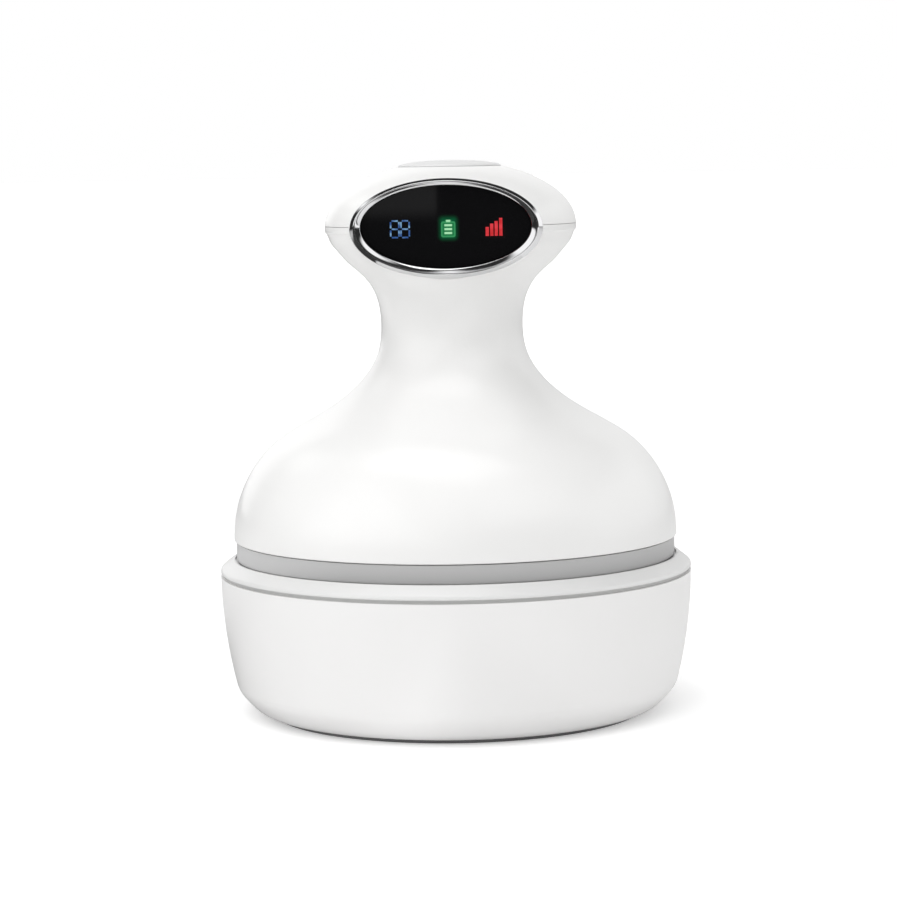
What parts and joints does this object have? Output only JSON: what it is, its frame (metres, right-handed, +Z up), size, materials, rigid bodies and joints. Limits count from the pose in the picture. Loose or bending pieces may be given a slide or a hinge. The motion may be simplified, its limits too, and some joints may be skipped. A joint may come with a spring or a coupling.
{
  "type": "electric scalp massager",
  "caption": "Handheld electric scalp massager with a waisted white body, an oval lit display and a round power button, seated on a shallow white storage base.",
  "frame": {"origin": "centre of the storage base on the table it stands on", "axes": "+Z up along the body's axis, display facing -Y, +X to the right of the display as it is seen"},
  "size_m": [0.118, 0.118, 0.1377],
  "materials": {
    "shell_white": "satin gloss moulding",
    "trim_grey": "satin",
    "button_grey": "fine satin",
    "bezel_chrome": "polished",
    "lens_black": "polished smoked window",
    "digit_blue": "lit",
    "charge_green": "lit",
    "level_red": "lit",
    "foot_rubber": "matt",
    "seal_rubber": "matt",
    "claw_silicone": "soft matt",
    "frame_plastic": "moulded",
    "gear_plastic": "moulded acetal",
    "steel": "turned",
    "screw_steel": "plated",
    "bronze": "sintered",
    "motor_can": "plated",
    "pcb_green": "solder mask",
    "chip_black": "moulded",
    "cell_wrap": "shrink sleeve",
    "wire_red": "insulation",
    "ribbon_amber": "film",
    "port_steel": "drawn"
  },
  "bodies": {
    "storage_base": {"base_bowl": "shell_white", "base_rim": "shell_white", "base_foot_ring": "foot_rubber"},
    "massager": {"battery": "cell_wrap", "battery_sleeve": "frame_plastic", "board_parts": "chip_black", "board_screws": "screw_steel", "charge_port": "port_steel", "chassis": "frame_plastic", "chassis_screws": "screw_steel", "display_bezel": "bezel_chrome", "display_board": "pcb_green", "display_charge_icon": "charge_green", "display_digits": "digit_blue", "display_frame": "frame_plastic", "display_lens": "lens_black", "display_level_bars": "level_red", "display_module": "chip_black", "display_ribbon": "ribbon_amber", "display_screws": "screw_steel", "gearbox_cover": "frame_plastic", "gearbox_screws": "screw_steel", "grip_cap": "shell_white", "housing": "shell_white", "lay_stud": "steel", "main_board": "pcb_green", "motor": "motor_can", "motor_damper": "seal_rubber", "motor_screws": "screw_steel", "port_board": "pcb_green", "power_leads": "wire_red", "shaft_bushes": "bronze", "shaft_seals": "seal_rubber", "stud_clips": "screw_steel", "sun_stud": "steel", "switch_board": "pcb_green", "tact_switch": "chip_black", "trim_ring": "trim_grey"},
    "power_button": {"power_button": "button_grey"},
    "sun_gear": {"sun_cluster": "gear_plastic"},
    "layshaft": {"lay_cluster": "gear_plastic"},
    "motor_rotor": {"motor_shaft": "steel", "motor_pinion": "bronze"},
    "head_rear_right": {"head_shaft_rear_right": "steel", "head_gear_rear_right": "gear_plastic", "head_carrier_rear_right": "frame_plastic", "head_claw_rear_right": "claw_silicone"},
    "head_rear_left": {"head_shaft_rear_left": "steel", "head_gear_rear_left": "gear_plastic", "head_carrier_rear_left": "frame_plastic", "head_claw_rear_left": "claw_silicone"},
    "head_front_left": {"head_shaft_front_left": "steel", "head_gear_front_left": "gear_plastic", "head_carrier_front_left": "frame_plastic", "head_claw_front_left": "claw_silicone"},
    "head_front_right": {"head_shaft_front_right": "steel", "head_gear_front_right": "gear_plastic", "head_carrier_front_right": "frame_plastic", "head_claw_front_right": "claw_silicone"}
  },
  "joints": [
    {"name": "massager_lift", "type": "slide", "parent": "storage_base", "child": "massager", "axis": [0, 0, 1], "range_m": [0, 0.06]},
    {"name": "power_press", "type": "slide", "parent": "massager", "child": "power_button", "axis": [0, 0, -1], "range_m": [0, 0.0008], "stiffness_N_per_m": 1500, "springref_m": -0.0004},
    {"name": "head_rear_right_spin", "type": "hinge", "parent": "massager", "child": "head_rear_right", "pos_m": [0.019, 0.019, 0.04], "axis": [0, 0, 1], "continuous": true},
    {"name": "head_rear_left_spin", "type": "hinge", "parent": "massager", "child": "head_rear_left", "pos_m": [-0.019, 0.019, 0.04], "axis": [0, 0, 1], "continuous": true},
    {"name": "head_front_left_spin", "type": "hinge", "parent": "massager", "child": "head_front_left", "pos_m": [-0.019, -0.019, 0.04], "axis": [0, 0, 1], "continuous": true},
    {"name": "head_front_right_spin", "type": "hinge", "parent": "massager", "child": "head_front_right", "pos_m": [0.019, -0.019, 0.04], "axis": [0, 0, 1], "continuous": true},
    {"name": "sun_spin", "type": "hinge", "parent": "massager", "child": "sun_gear", "pos_m": [0, 0, 0.05], "axis": [0, 0, 1], "continuous": true},
    {"name": "lay_spin", "type": "hinge", "parent": "massager", "child": "layshaft", "pos_m": [0, 0.015, 0.056], "axis": [0, 0, 1], "continuous": true},
    {"name": "rotor_spin", "type": "hinge", "parent": "massager", "child": "motor_rotor", "pos_m": [0, 0, 0.06], "axis": [0, 0, 1], "continuous": true}
  ],
  "couplings": [
    {"joint": "head_front_left_spin", "follows": "head_rear_right_spin", "ratio": 1},
    {"joint": "head_rear_left_spin", "follows": "head_rear_right_spin", "ratio": -1},
    {"joint": "head_front_right_spin", "follows": "head_rear_right_spin", "ratio": -1},
    {"joint": "sun_spin", "follows": "head_rear_right_spin", "ratio": -3.5},
    {"joint": "lay_spin", "follows": "head_rear_right_spin", "ratio": 8.1667},
    {"joint": "rotor_spin", "follows": "head_rear_right_spin", "ratio": -28.955}
  ]
}
